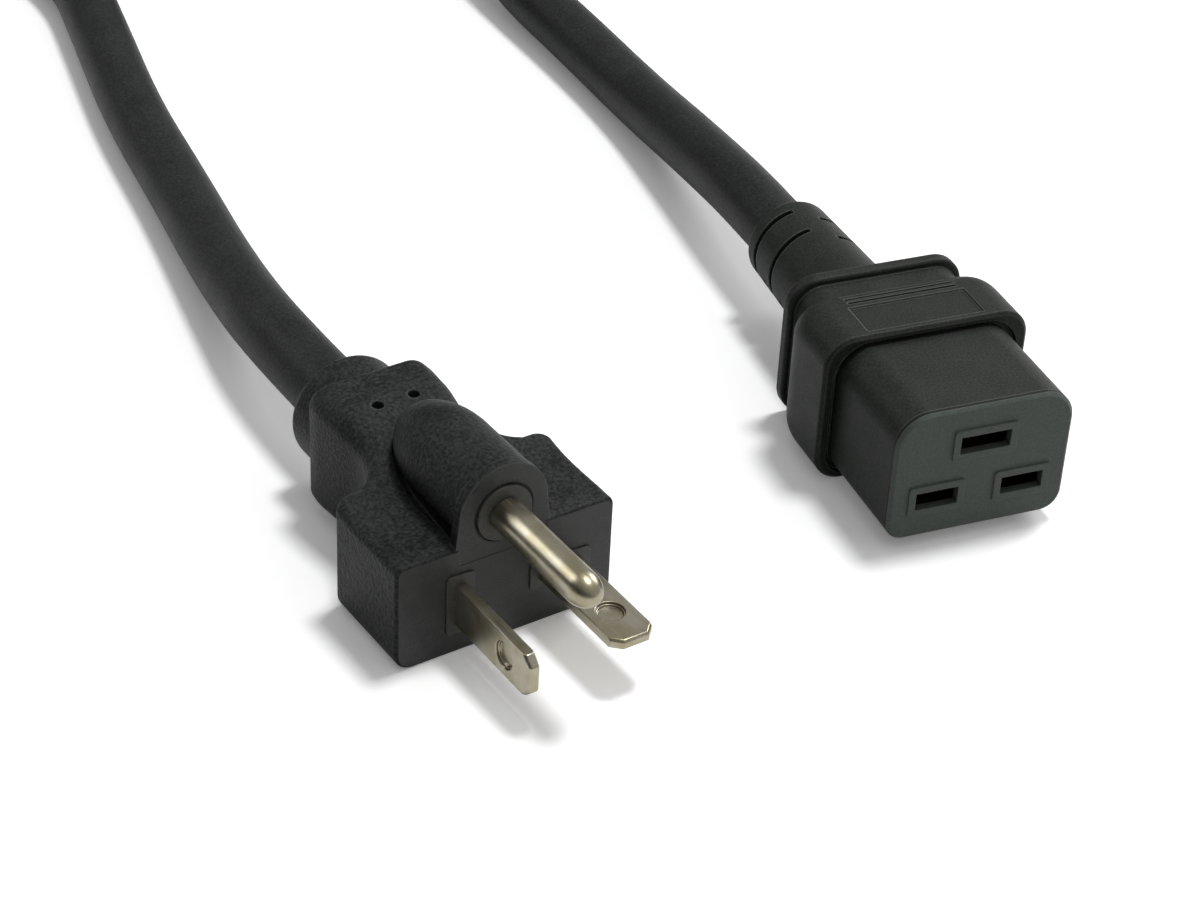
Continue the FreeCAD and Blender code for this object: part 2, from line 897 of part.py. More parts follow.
def coil_tie():
    """Strap round the bundle on the far side of the coil."""
    band = Part.Face(bundle_outline(tie_thickness)).cut(Part.Face(bundle_outline(0)))
    sweep = math.degrees(tie_width / coil_mean_radius)
    strap = band.revolve(origin, along_z, sweep)
    strap.rotate(origin, along_z, 90 - sweep / 2)
    strap.translate(Vector(coil_centre_x, coil_centre_y, 0))
    return strap


def print_route(name, points, shape):
    radii = [bend_radius(*three) for three in zip(points, points[1:], points[2:])]
    length = route_wire(points).Length
    section = math.pi * cord_radius ** 2
    print(name, "smallest bend", round(min(radii), 1), "length", round(length, 1))
    print(name, "volume over section times length", round(shape.Volume / (section * length), 4))
    return length


# Plug.
pins = [ground_pin(), blade(blade_vertical_x, True), blade(blade_horizontal_x, False)]
bridge = plug_bridge(pins)
pin_places = [(0, pin_height), (blade_vertical_x, blade_height), (blade_horizontal_x, blade_height)]
plug_bends = [ground_lead_bend_y, line_lead_bend_y, line_lead_bend_y]
plug_ends = lead_spots(plug_centre_x, cord_entry_height, True)
core_start_y = barrel_end_y - core_insert_depth
plug_routes = []
for place, end, bends in zip(pin_places, plug_ends, plug_bends):
    plug_routes.append(lead_route(place, end, core_start_y, bends, jacket_end_y))
plug_leads, plug_cores, plug_bars = leads_and_cores(plug_routes, pins)
plug_bore = rod(plug_centre_x, cord_entry_height, jacket_end_y, collar_end_y, cord_radius)
plug_body = cut_all(plug_shell(), [bridge] + pins + plug_bars + [plug_bore])

# Connector, built in its own frame and then turned into place.
contacts = [contact(x, z) for x, z, width in slot_places()]
connector_ends = lead_spots(0, connector_axis_height, False)
contact_core_y = contact_rear_y + barrel_length - core_insert_depth
connector_routes = []
for (x, z, width), end in zip(slot_places(), connector_ends):
    route = lead_route((x, z), end, contact_core_y, connector_lead_bend_y, sleeve_jacket_end_y)
    connector_routes.append(route)
connector_leads, connector_cores, connector_bars = leads_and_cores(connector_routes, contacts)
insert, insert_outside = connector_insert(contacts + connector_bars)
sleeve_bore = rod(0, connector_axis_height, sleeve_jacket_end_y, sleeve_end_y, cord_radius)
connector_body = cut_all(connector_shell(), [insert_outside] + contacts + connector_bars + [sleeve_bore])

# Cord.
coil_ring = coil()
plug_path = vectors(plug_route)
connector_path = [connector_point(sleeve_jacket_end_y), connector_point(sleeve_end_y + 8)] + vectors(connector_route)
plug_run = tube(plug_path, cord_diameter)
connector_run = tube(connector_path, cord_diameter)
length = print_route("plug run", plug_path, plug_run)
length += print_route("connector run", connector_path, connector_run)
turn_radii = [coil_mean_radius + slot * cord_diameter for slot in coil_lower_slots + coil_upper_slots]
turn_share = [1, 1, 1, 1, coil_turns - 4]
length += sum(2 * math.pi * radius * share for radius, share in zip(turn_radii, turn_share))
print("cord length from jacket end to jacket end", round(length, 1))

nodes = {
    "plug_body": plug_body,
    "plug_bridge": bridge,
    "ground_pin": pins[0],
    "blade_vertical": pins[1],
    "blade_horizontal": pins[2],
    "cord_plug_run": plug_run.cut(coil_ring),
    "cord_coil": coil_ring,
    "coil_tie": coil_tie(),
    "cord_connector_run": connector_run.cut(coil_ring),
    "connector_body": placed_connector(connector_body),
    "connector_insert": placed_connector(insert),
}
for number, name in enumerate(("ground", "line_1", "line_2")):
    nodes["plug_lead_" + name] = plug_leads[number]
    nodes["plug_core_" + name] = plug_cores[number]
    nodes["contact_" + name] = placed_connector(contacts[number])
    nodes["connector_lead_" + name] = placed_connector(connector_leads[number])
    nodes["connector_core_" + name] = placed_connector(connector_cores[number])

for name, shape in nodes.items():
    solids = shape.Solids
    print(name, "solids", len(solids), "valid", shape.isValid(), "volume", round(shape.Volume, 1))
    shape.exportStep("parts/" + name + ".step")
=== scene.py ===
import math

import bmesh
import bpy
import numpy as np
from mathutils import Matrix, Vector


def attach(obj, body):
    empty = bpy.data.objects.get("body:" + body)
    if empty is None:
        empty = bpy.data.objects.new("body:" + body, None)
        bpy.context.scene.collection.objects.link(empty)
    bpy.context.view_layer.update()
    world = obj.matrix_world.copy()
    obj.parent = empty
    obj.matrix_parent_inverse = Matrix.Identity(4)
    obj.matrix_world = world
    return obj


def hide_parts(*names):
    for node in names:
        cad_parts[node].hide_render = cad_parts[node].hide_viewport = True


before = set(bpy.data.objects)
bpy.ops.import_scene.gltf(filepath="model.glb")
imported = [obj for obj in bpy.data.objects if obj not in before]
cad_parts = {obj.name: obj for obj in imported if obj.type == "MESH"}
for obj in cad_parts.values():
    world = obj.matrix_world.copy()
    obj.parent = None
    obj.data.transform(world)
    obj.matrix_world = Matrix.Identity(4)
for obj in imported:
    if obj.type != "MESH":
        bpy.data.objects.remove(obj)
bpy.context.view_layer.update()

mm = 0.001  # sizes are written in millimetres, the scene is in metres


# sRGB hex to the linear colour that shaders want
def linear(hexColour):
    parts = [int(hexColour[i:i + 2], 16) / 255 for i in (1, 3, 5)]
    return [p / 12.92 if p <= 0.04045 else ((p + 0.055) / 1.055) ** 2.4 for p in parts] + [1.0]


# adds a node, sets its properties and sockets, and links (node, output) pairs into it
def addNode(tree, kind, settings=None, sockets=None, links=None):
    node = tree.nodes.new(kind)
    for name, value in (settings or {}).items():
        setattr(node, name, value)
    for name, value in (sockets or {}).items():
        node.inputs[name].default_value = value
    for name, (source, output) in (links or {}).items():
        tree.links.new(source.outputs[output], node.inputs[name])
    return node


# an empty node material with its output and a Principled shader
def newMaterial(name, sockets):
    material = bpy.data.materials.new(name)
    material.use_nodes = True
    tree = material.node_tree
    tree.nodes.clear()
    shader = addNode(tree, "ShaderNodeBsdfPrincipled", sockets=sockets)
    addNode(tree, "ShaderNodeOutputMaterial", links={"Surface": (shader, "BSDF")})
    return material, tree, shader


# what all moulded skins share: the noises' detail, how far the tints spread about the grain's
# middle height, how much the sheen wanders, and how far a normal turns where an edge is painted paler, partly
# for wear and partly as a painted highlight
mouldFacts = {"ior": 1.46, "grainDetail": 3.0, "grainFineness": 0.6, "cloudDetail": 4.0,
              "cloudFineness": 0.55, "cloudLow": 0.3, "cloudHigh": 0.7, "tintBelow": 0.12, "tintAbove": 0.2,
              "shinier": 0.04, "duller": 0.05, "wearAndHighlightBegins": 0.995, "wearAndHighlightFull": 0.86, "edgeSamples": 6}


# Moulded PVC: a satin skin with the leathery grain of a spark-eroded mould. Light catches it as
# a soft haze broken into small specks. The grain's peaks are painted paler, partly the grain's own
# tone and partly painted specks of highlight. Each edge is rounded enough to draw a soft line, and
# is painted paler too, partly wear and partly a painted highlight.
def mouldedPvc(name, look):
    material, tree, shader = newMaterial(name, {
        "Roughness": look["roughness"], "IOR": mouldFacts["ior"], "Specular IOR Level": look["specular"],
    })
    place = addNode(tree, "ShaderNodeTexCoord")
    # grain cell size in metres gives the noise scale
    grain = addNode(tree, "ShaderNodeTexNoise", sockets={
        "Scale": 1 / (look["grainMm"] * mm),
        "Detail": mouldFacts["grainDetail"], "Roughness": mouldFacts["grainFineness"],
    }, links={"Vector": (place, "Object")})
    cloud = addNode(tree, "ShaderNodeTexNoise", sockets={
        "Scale": 1 / (look["cloudMm"] * mm),
        "Detail": mouldFacts["cloudDetail"], "Roughness": mouldFacts["cloudFineness"],
    }, links={"Vector": (place, "Object")})
    # broad patches shift the grain's height, so that its pale peaks come and go over the skin; the pale peaks
    # are partly the grain's own tone and partly painted specks of highlight
    peaks = addNode(tree, "ShaderNodeMath", settings={"operation": "MULTIPLY_ADD"}, links={
        0: (cloud, "Fac"), 2: (grain, "Fac"),
    })
    peaks.inputs[1].default_value = look["patchiness"]
    tint = addNode(tree, "ShaderNodeValToRGB", links={"Fac": (peaks, "Value")})
    middle = 0.5 + look["patchiness"] * 0.5  # both noises lie about 0.5
    tint.color_ramp.elements[0].position = middle - mouldFacts["tintBelow"]
    tint.color_ramp.elements[0].color = linear(look["dark"])
    tint.color_ramp.elements[1].position = middle + mouldFacts["tintAbove"]
    tint.color_ramp.elements[1].color = linear(look["light"])
    # edges, where a rounded normal leaves the true one, are painted paler: partly wear, partly a painted
    # highlight along the rounded edge
    rounded = addNode(tree, "ShaderNodeBevel", settings={"samples": mouldFacts["edgeSamples"]},
                      sockets={"Radius": look["edgeMm"] * mm})
    skin = addNode(tree, "ShaderNodeNewGeometry")
    agreement = addNode(tree, "ShaderNodeVectorMath", settings={"operation": "DOT_PRODUCT"}, links={
        0: (rounded, "Normal"), 1: (skin, "Normal"),
    })
    edgeWearAndHighlightMask = addNode(tree, "ShaderNodeMapRange", sockets={
        "From Min": mouldFacts["wearAndHighlightBegins"], "From Max": mouldFacts["wearAndHighlightFull"],
        "To Min": 0.0, "To Max": look["edgeWearAndHighlight"],
    }, links={"Value": (agreement, "Value")})
    wornAndHighlitColour = addNode(tree, "ShaderNodeMixRGB", sockets={"Color2": linear(look["edge"])}, links={
        "Fac": (edgeWearAndHighlightMask, "Result"), "Color1": (tint, "Color"),
    })
    tree.links.new(wornAndHighlitColour.outputs["Color"], shader.inputs["Base Color"])
    sheen = addNode(tree, "ShaderNodeMapRange", sockets={
        "From Min": mouldFacts["cloudLow"], "From Max": mouldFacts["cloudHigh"],
        "To Min": look["roughness"] - mouldFacts["shinier"],
        "To Max": look["roughness"] + mouldFacts["duller"],
    }, links={"Value": (cloud, "Fac")})
    tree.links.new(sheen.outputs["Result"], shader.inputs["Roughness"])
    bump = addNode(tree, "ShaderNodeBump", sockets={
        "Strength": look["grainStrength"], "Distance": look["grainDepthMm"] * mm,
    }, links={"Height": (grain, "Fac"), "Normal": (rounded, "Normal")})
    tree.links.new(bump.outputs["Normal"], shader.inputs["Normal"])
    return material


# plug body: a coarse leathery grain, nearly black, its edges painted grey, partly wear and partly a painted
# highlight
plugSkin = {"dark": "#181919", "light": "#373938", "roughness": 0.42, "specular": 0.08,
            "grainMm": 0.5, "cloudMm": 6.0, "patchiness": 0.3, "grainStrength": 1.0,
            "grainDepthMm": 0.22, "edgeMm": 0.55, "edge": "#525453", "edgeWearAndHighlight": 0.7}
# plug face: left plain by the mould, so smooth and even; its tone is painted lighter than the body's, a
# painted lift for the light that falls on the front
plugFacePaintedLighterSkin = {"dark": "#222323", "light": "#2e2f2e", "roughness": 0.5, "specular": 0.45,
                "grainMm": 0.3, "cloudMm": 3.0, "patchiness": 0.8, "grainStrength": 0.4,
                "grainDepthMm": 0.03, "edgeMm": 0.4, "edge": "#5a5c5b", "edgeWearAndHighlight": 0.8}
# pin bridge: nylon, browner and paler than the PVC round it
plugPadSkin = {"dark": "#393936", "light": "#464642", "roughness": 0.5, "specular": 0.4,
               "grainMm": 0.3, "cloudMm": 3.0, "patchiness": 0.8, "grainStrength": 0.4,
               "grainDepthMm": 0.03, "edgeMm": 0.15, "edge": "#5a5a56", "edgeWearAndHighlight": 0.6}
# connector body: fine-grained charcoal with a green cast, its ribs and rims painted pale, partly wear and
# partly a painted highlight
connectorSkin = {"dark": "#202421", "light": "#303430", "roughness": 0.48, "specular": 0.1,
                 "grainMm": 0.35, "cloudMm": 5.0, "patchiness": 0.3, "grainStrength": 0.7,
                 "grainDepthMm": 0.05, "edgeMm": 0.36, "edge": "#767a76", "edgeWearAndHighlight": 0.9}
# nose plate: the palest moulding, smooth grey-green nylon
connectorFaceSkin = {"dark": "#434a45", "light": "#515852", "roughness": 0.5, "specular": 0.3,
                     "grainMm": 0.3, "cloudMm": 4.0, "patchiness": 0.4, "grainStrength": 0.5,
                     "grainDepthMm": 0.03, "edgeMm": 0.25, "edge": "#626863", "edgeWearAndHighlight": 0.7}
# contact slots: painted shade, near black, darkening the slots' insides so that they read as deep
slotPaintedShadeSkin = {"dark": "#070807", "light": "#0b0c0b", "roughness": 0.6, "specular": 0.2,
           "grainMm": 0.3, "cloudMm": 4.0, "patchiness": 0.4, "grainStrength": 0.3,
           "grainDepthMm": 0.03, "edgeMm": 0.1, "edge": "#0b0c0b", "edgeWearAndHighlight": 0.0}
# jacket: drawn smooth by the extruder, a faint satin haze and no worn edges
jacketSkin = {"dark": "#1e1f1e", "light": "#303231", "roughness": 0.47, "specular": 0.11,
              "grainMm": 0.45, "cloudMm": 7.0, "patchiness": 0.3, "grainStrength": 0.6,
              "grainDepthMm": 0.05, "edgeMm": 0.2, "edge": "#282a29", "edgeWearAndHighlight": 0.0}

plugPvc = mouldedPvc("moulded PVC, plug black", plugSkin)
# the plug face's tone is painted lighter, a painted lift for the light on the front
plugFacePaintedLighterPvc = mouldedPvc("moulded PVC, plain face painted lighter", plugFacePaintedLighterSkin)
plugPadPvc = mouldedPvc("moulded nylon, pin bridge", plugPadSkin)
connectorPvc = mouldedPvc("moulded PVC, charcoal", connectorSkin)
connectorFacePvc = mouldedPvc("moulded nylon, nose plate", connectorFaceSkin)
# painted shade: a near-black skin for the faces deep inside the contact slots
slotPaintedShadeNylon = mouldedPvc("painted shade, inside the contact slots", slotPaintedShadeSkin)
jacketPvc = mouldedPvc("extruded PVC jacket", jacketSkin)

# Nickel-plated brass: a warm grey mirror gone soft, with fine draw lines along the pin and a
# faint yellow where the plating is thin.
platedPins = {"plate": "#a39e8e", "thin": "#958e76", "roughness": 0.31, "shinier": 0.03, "duller": 0.05,
              "lineMm": 0.3, "lineLengthMm": 9.0, "lineLow": 0.35, "lineHigh": 0.7, "lineFineness": 0.6,
              "lineStrength": 0.03, "lineDepthMm": 0.01, "patchMm": 3.5, "patchLow": 0.38, "patchHigh": 0.62,
              "detail": 3.0}


def platedMetal(name, look):
    material, tree, shader = newMaterial(name, {"Metallic": 1.0, "Roughness": look["roughness"]})
    place = addNode(tree, "ShaderNodeTexCoord")
    # long thin cells: squeezed across the pin, stretched along its length (Y)
    across, along = 1 / (look["lineMm"] * mm), 1 / (look["lineLengthMm"] * mm)
    stretched = addNode(tree, "ShaderNodeMapping", sockets={"Scale": (across, along, across)},
                        links={"Vector": (place, "Object")})
    lines = addNode(tree, "ShaderNodeTexNoise", sockets={
        "Scale": 1.0, "Detail": look["detail"], "Roughness": look["lineFineness"],
    }, links={"Vector": (stretched, "Vector")})
    patch = addNode(tree, "ShaderNodeTexNoise", sockets={
        "Scale": 1 / (look["patchMm"] * mm), "Detail": look["detail"],
    }, links={"Vector": (place, "Object")})
    tint = addNode(tree, "ShaderNodeValToRGB", links={"Fac": (patch, "Fac")})
    tint.color_ramp.elements[0].position = look["patchLow"]
    tint.color_ramp.elements[0].color = linear(look["thin"])
    tint.color_ramp.elements[1].position = look["patchHigh"]
    tint.color_ramp.elements[1].color = linear(look["plate"])
    tree.links.new(tint.outputs["Color"], shader.inputs["Base Color"])
    dull = addNode(tree, "ShaderNodeMapRange", sockets={
        "From Min": look["lineLow"], "From Max": look["lineHigh"],
        "To Min": look["roughness"] - look["shinier"], "To Max": look["roughness"] + look["duller"],
    }, links={"Value": (lines, "Fac")})
    tree.links.new(dull.outputs["Result"], shader.inputs["Roughness"])
    bump = addNode(tree, "ShaderNodeBump", sockets={
        "Strength": look["lineStrength"], "Distance": look["lineDepthMm"] * mm,
    }, links={"Height": (lines, "Fac")})
    tree.links.new(bump.outputs["Normal"], shader.inputs["Normal"])
    return material


pinNickel = platedMetal("nickel-plated brass", platedPins)
contactBrass = platedMetal("spring brass", dict(platedPins, plate="#c9a45e", thin="#b08a48"))

# Drawn copper strands, seen only in section: warm, softly striped along the lead.
strandCopper = platedMetal("stranded copper", dict(platedPins, plate="#c77d4e", thin="#a8613a"))


# Extruded lead insulation: plain coloured PVC with a faint shine.
def leadInsulation(name, dark, light):
    look = {"dark": dark, "light": light, "roughness": 0.4, "specular": 0.5,
            "grainMm": 0.4, "cloudMm": 3.0, "patchiness": 0.8, "grainStrength": 0.15,
            "grainDepthMm": 0.02, "edgeMm": 0.1, "edge": light, "edgeWearAndHighlight": 0.0}
    return mouldedPvc(name, look)


# Woven hook-and-loop tape: a soft black pile over 0.6 mm ribs.
tapeWeave = {"dark": "#0f0f10", "light": "#262628", "roughness": 0.9, "specular": 0.2, "ribMm": 0.6,
             "ribWander": 1.5, "pileMm": 0.25, "detail": 2.0, "weaveStrength": 0.6, "weaveDepthMm": 0.15}
bandsPerUnit = 3.2  # what a wave texture shows at scale 1


def wovenTape(name, look):
    material, tree, shader = newMaterial(name, {
        "Roughness": look["roughness"], "Specular IOR Level": look["specular"],
    })
    place = addNode(tree, "ShaderNodeTexCoord")
    ribs = addNode(tree, "ShaderNodeTexWave", settings={"bands_direction": "X"}, sockets={
        "Scale": 1 / (look["ribMm"] * mm * bandsPerUnit),
        "Distortion": look["ribWander"], "Detail": look["detail"],
    }, links={"Vector": (place, "Object")})
    pile = addNode(tree, "ShaderNodeTexNoise", sockets={
        "Scale": 1 / (look["pileMm"] * mm), "Detail": look["detail"],
    }, links={"Vector": (place, "Object")})
    weave = addNode(tree, "ShaderNodeMath", settings={"operation": "ADD"}, links={
        0: (ribs, "Fac"), 1: (pile, "Fac"),
    })
    tint = addNode(tree, "ShaderNodeValToRGB", links={"Fac": (pile, "Fac")})
    tint.color_ramp.elements[0].color = linear(look["dark"])
    tint.color_ramp.elements[1].color = linear(look["light"])
    tree.links.new(tint.outputs["Color"], shader.inputs["Base Color"])
    bump = addNode(tree, "ShaderNodeBump", sockets={
        "Strength": look["weaveStrength"], "Distance": look["weaveDepthMm"] * mm,
    }, links={"Height": (weave, "Value")})
    tree.links.new(bump.outputs["Normal"], shader.inputs["Normal"])
    return material


tieTape = wovenTape("woven hook-and-loop tape", tapeWeave)
print("materials ready")

nodeMaterials = {
    "coil_tie": tieTape,
    "plug_bridge": plugPadPvc,
}
for leadName, colours in {
    "ground": ("#1f7a35", "#2c8f43"),
    "line_1": ("#141414", "#1d1d1d"),
    "line_2": ("#c9c9c4", "#dededa"),
}.items():
    insulation = leadInsulation("lead insulation " + leadName, *colours)
    nodeMaterials["plug_lead_" + leadName] = insulation
    nodeMaterials["connector_lead_" + leadName] = insulation
    nodeMaterials["plug_core_" + leadName] = strandCopper
    nodeMaterials["connector_core_" + leadName] = strandCopper
    nodeMaterials["contact_" + leadName] = contactBrass


def setMaterial(piece, material):
    piece.data.materials.clear()
    piece.data.materials.append(material)


for nodeName, material in nodeMaterials.items():
    setMaterial(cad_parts[nodeName], material)
print("plain CAD nodes dressed:", len(nodeMaterials))

# the middle of the connector's front, and how far the connector is turned about the vertical
noseFacts = {"x": 67.8, "y": -13.8, "turn": -12.0}


# how far a place lies behind the connector's nose, along the connector's own axis
def behindNose(place):
    turn = math.radians(noseFacts["turn"])
    return (noseFacts["x"] * mm - place.x) * math.sin(turn) + (place.y - noseFacts["y"] * mm) * math.cos(turn)


# the plug's flat front has a second skin with its tone painted lighter, a painted lift for the light on it,
# and the insides of the connector's slots have a second skin of painted shade
secondSkins = {"frontNormal": -0.97, "frontDeepMm": 1.0, "slotDeepMm": 0.45}


def isPlugFront(face):
    isFlat = face.normal.y < secondSkins["frontNormal"]
    return isFlat and face.calc_center_median().y < secondSkins["frontDeepMm"] * mm


def isInsideSlot(face):
    return behindNose(face.calc_center_median()) > secondSkins["slotDeepMm"] * mm


# each shell stands for one CAD node; edges flatter than the angle shade smooth, the rest are bevelled
shells = {
    "plug_body": {"piece": "plugShell", "slot": "moulding", "material": plugPvc,
                  "angle": 32, "bevelMm": 0.1, "second": plugFacePaintedLighterPvc, "isSecond": isPlugFront},
    "connector_body": {"piece": "connectorShell", "slot": "connector_moulding", "material": connectorPvc,
                       "angle": 32, "bevelMm": 0.1},
    "connector_insert": {"piece": "nosePlate", "slot": "connector_bridge", "material": connectorFacePvc,
                         "angle": 32, "bevelMm": 0.1, "second": slotPaintedShadeNylon, "isSecond": isInsideSlot},
    "ground_pin": {"piece": "groundPin", "slot": "pin_metal", "material": pinNickel,
                   "angle": 40, "bevelMm": 0.0},
    "blade_vertical": {"piece": "uprightBlade", "slot": "pin_metal", "material": pinNickel,
                       "angle": 30, "bevelMm": 0.1, "web": "upright"},
    "blade_horizontal": {"piece": "flatBlade", "slot": "pin_metal", "material": pinNickel,
                         "angle": 30, "bevelMm": 0.1, "web": "flat"},
}
meshCare = {"weldMm": 0.002, "flatDegrees": 0.05, "bevelSegments": 2}  # how CAD triangles are joined

# the blades' round dimples are blind: a stepped recess on each side of a thin web of metal
dimpleFacts = {"reach": 11.9, "height": 7.8, "upright": -6.35, "flat": 8.73, "halfThickness": 0.76,
               "outer": 2.0, "inner": 1.7, "stepDeep": 0.3, "floorDeep": 0.62, "around": 72}


# the web that closes a blade's hole: a stepped profile (radius, height along the hole's axis)
# carried round that axis as a grid of rings, with one more point at the middle of each floor
def dimpleWeb(facts, blade):
    inner, outer, around = facts["inner"], facts["outer"], facts["around"]
    step = facts["halfThickness"] - facts["stepDeep"]
    bottom = facts["halfThickness"] - facts["floorDeep"]
    radius = np.array([inner, inner, outer, outer, inner, inner])[:, None]
    height = np.array([bottom, step, step, -step, -step, -bottom])[:, None]
    angle = np.arange(around) * 2 * math.pi / around
    rings = np.stack([radius * np.cos(angle), radius * np.sin(angle), height + 0 * angle], 2).reshape(-1, 3)
    points = np.vstack([rings, [[0, 0, bottom], [0, 0, -bottom]]])
    if blade == "upright":
        points = points[:, [2, 0, 1]]  # this blade's hole runs along X
    points = (points + [facts[blade], -facts["reach"], facts["height"]]) * mm

    # corner a of a ring joins corner b, its neighbour
    a = np.arange(around)
    b = (a + 1) % around
    low = np.arange(len(radius) - 1)[:, None] * around
    walls = np.stack([low + a, low + around + a, low + around + b, low + b], 2).reshape(-1, 4)
    last = len(rings) - around
    upper = np.stack([len(rings) + 0 * a, a, b], 1)
    lower = np.stack([len(rings) + 1 + 0 * a, last + b, last + a], 1)
    web = bpy.data.meshes.new("web")
    web.from_pydata(points.tolist(), [], walls.tolist() + upper.tolist() + lower.tolist())
    return web


# copies a CAD node's mesh, joins its loose triangles and shades and bevels it by its angle
def mergedShell(nodeName, facts):
    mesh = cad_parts[nodeName].data.copy()
    mesh.name = facts["piece"]
    mesh.materials.clear()
    mesh.materials.append(facts["material"])
    if "second" in facts:
        mesh.materials.append(facts["second"])
    work = bmesh.new()
    work.from_mesh(mesh)
    bmesh.ops.remove_doubles(work, verts=work.verts, dist=meshCare["weldMm"] * mm)
    bmesh.ops.dissolve_limit(work, angle_limit=math.radians(meshCare["flatDegrees"]),
                             verts=work.verts, edges=work.edges)
    if "web" in facts:
        web = dimpleWeb(dimpleFacts, facts["web"])
        work.from_mesh(web)
        bpy.data.meshes.remove(web)
    limit = math.radians(facts["angle"])
    for edge in work.edges:
        edge.smooth = len(edge.link_faces) == 2 and edge.calc_face_angle(0.0) < limit
    for face in work.faces:
        face.smooth = True
        face.material_index = int("second" in facts and facts["isSecond"](face))
    work.to_mesh(mesh)
    work.free()
    piece = bpy.data.objects.new(facts["piece"], mesh)
    bpy.context.scene.collection.objects.link(piece)
    if facts["bevelMm"]:
        bevel = piece.modifiers.new("softEdges", "BEVEL")
        bevel.width = facts["bevelMm"] * mm
        bevel.segments = meshCare["bevelSegments"]
        bevel.limit_method = "ANGLE"
        bevel.angle_limit = limit
    weighted = piece.modifiers.new("evenNormals", "WEIGHTED_NORMAL")
    weighted.keep_sharp = True
    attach(piece, "root")
    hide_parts(nodeName)


for nodeName, facts in shells.items():
    mergedShell(nodeName, facts)
print("shells merged:", len(shells))

# the cord's route in millimetres, as the source has it, out of the plug and back to the connector
cordFacts = {
    "diameter": 10.2, "length": 1830.0, "exit": (0.6, 43.5, 10.7),
    "plugRoute": [(0.6, 34.0, 10.7), (0.6, 60.0, 10.7), (5.4, 87.0, 6.8), (11.8, 116.0, 5.1),
                  (17.0, 145.0, 5.1), (24.4, 173.0, 5.1), (31.0, 199.0, 5.1), (27.4, 223.0, 5.6)],
    "connectorRoute": [(132.0, 224.0, 17.0), (116.5, 203.0, 16.2), (104.0, 181.0, 10.2), (99.6, 157.0, 5.6),
                       (97.6, 133.0, 5.1), (94.3, 108.0, 5.1), (89.0, 83.0, 8.4)],
    "axisHeight": 11.7, "sleeveApproach": 72.0, "sleeveJacketEnd": 45.0,
    "coilCentre": (83.5, 262.0), "coilRadius": 51.0, "tieThickness": 1.0,
    "slots": [(1.0, 0), (0.0, 0), (-1.0, 0), (-0.5, 1), (0.5, 1)],  # across and up, in diameters
    "pointsPerTurn": 12, "coilPoints": 54, "slideFrom": 0.72, "leadReach": 16.0,
    "roundness": 10, "smoothness": 10,
}


# a point on the connector's axis, a given way behind its nose
def connectorPoint(facts, back):
    turn = math.radians(noseFacts["turn"])
    x = noseFacts["x"] - back * math.sin(turn)
    y = noseFacts["y"] + back * math.cos(turn)
    return (x, y, facts["axisHeight"])


# the coil's turns: each keeps to its slot and slides to the next over its last quarter or so
def coilTurns(facts):
    step = np.arange(facts["coilPoints"])
    turnsDone = (step + 0.5) / facts["pointsPerTurn"]
    slot = turnsDone.astype(int)
    slide = np.clip((turnsDone - slot - facts["slideFrom"]) / (1 - facts["slideFrom"]), 0, 1)
    slots = np.array(facts["slots"] + facts["slots"][-1:])
    place = slots[slot] * (1 - slide)[:, None] + slots[slot + 1] * slide[:, None]
    corner = math.cos(math.pi / facts["pointsPerTurn"])
    radius = (facts["coilRadius"] + place[:, 0] * facts["diameter"]) / corner
    angle = math.pi - (step + 0.5) * 2 * math.pi / facts["pointsPerTurn"]
    height = facts["tieThickness"] + facts["diameter"] / 2 + place[:, 1] * facts["diameter"]
    x = facts["coilCentre"][0] + radius * np.cos(angle)
    y = facts["coilCentre"][1] + radius * np.sin(angle)
    return [tuple(point) for point in np.stack([x, y, height], 1)]


# the whole line: out of the plug, through the coil, into the connector's sleeve
def cordLine(facts):
    centreX, centreY = facts["coilCentre"]
    low = facts["tieThickness"] + facts["diameter"] / 2
    firstSlot = facts["coilRadius"] + facts["slots"][0][0] * facts["diameter"]
    lastSlot = facts["coilRadius"] + facts["slots"][-1][0] * facts["diameter"]
    intoCoil = (centreX - firstSlot, centreY - facts["leadReach"], low)
    outOfCoil = (centreX + lastSlot, centreY - facts["leadReach"], low + facts["diameter"])
    sleeve = [connectorPoint(facts, facts["sleeveApproach"]), connectorPoint(facts, facts["sleeveJacketEnd"])]
    coil = [intoCoil] + coilTurns(facts) + [outOfCoil]
    return facts["plugRoute"] + coil + facts["connectorRoute"] + sleeve


def buildCord(facts):
    points = np.array(cordLine(facts)) * mm
    curve = bpy.data.curves.new("cordJacket", "CURVE")
    curve.dimensions = "3D"
    curve.bevel_depth = facts["diameter"] / 2 * mm
    curve.bevel_resolution = facts["roundness"]
    curve.use_fill_caps = True
    curve.resolution_u = facts["smoothness"]
    spline = curve.splines.new("NURBS")
    spline.points.add(len(points) - 1)
    spline.points.foreach_set("co", np.c_[points, np.ones(len(points))].ravel())
    spline.order_u = 3
    spline.use_endpoint_u = True
    cord = bpy.data.objects.new("cordJacket", curve)
    bpy.context.scene.collection.objects.link(cord)
    cord.data.materials.append(jacketPvc)
    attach(cord, "root")
    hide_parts("cord_plug_run", "cord_coil", "cord_connector_run")
    print("cord laid:", len(points), "points")


buildCord(cordFacts)

